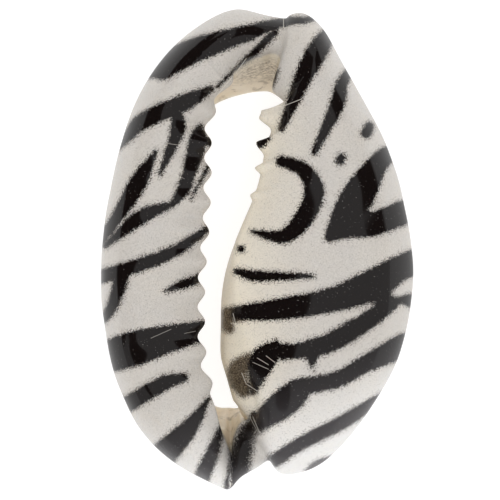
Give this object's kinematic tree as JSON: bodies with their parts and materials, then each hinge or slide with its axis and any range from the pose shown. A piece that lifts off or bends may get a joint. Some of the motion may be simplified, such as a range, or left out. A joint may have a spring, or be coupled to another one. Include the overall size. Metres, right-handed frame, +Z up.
{
  "type": "cowrie shell",
  "caption": "Cowrie shell with its back sliced off flat, an open toothed slot from end to end, and a printed zebra pattern under clear lacquer.",
  "frame": {"origin": "middle of the shell's footprint, on the plane of the cut rim that it rests on", "axes": "+Z up out of the toothed slot, +Y towards the wide front end of the slot, +X towards the swollen columella side"},
  "size_m": [0.0142, 0.022, 0.0072],
  "materials": {
    "printed_shell": "gloss"
  },
  "bodies": {
    "root": {"shell": "printed_shell"}
  },
  "joints": []
}
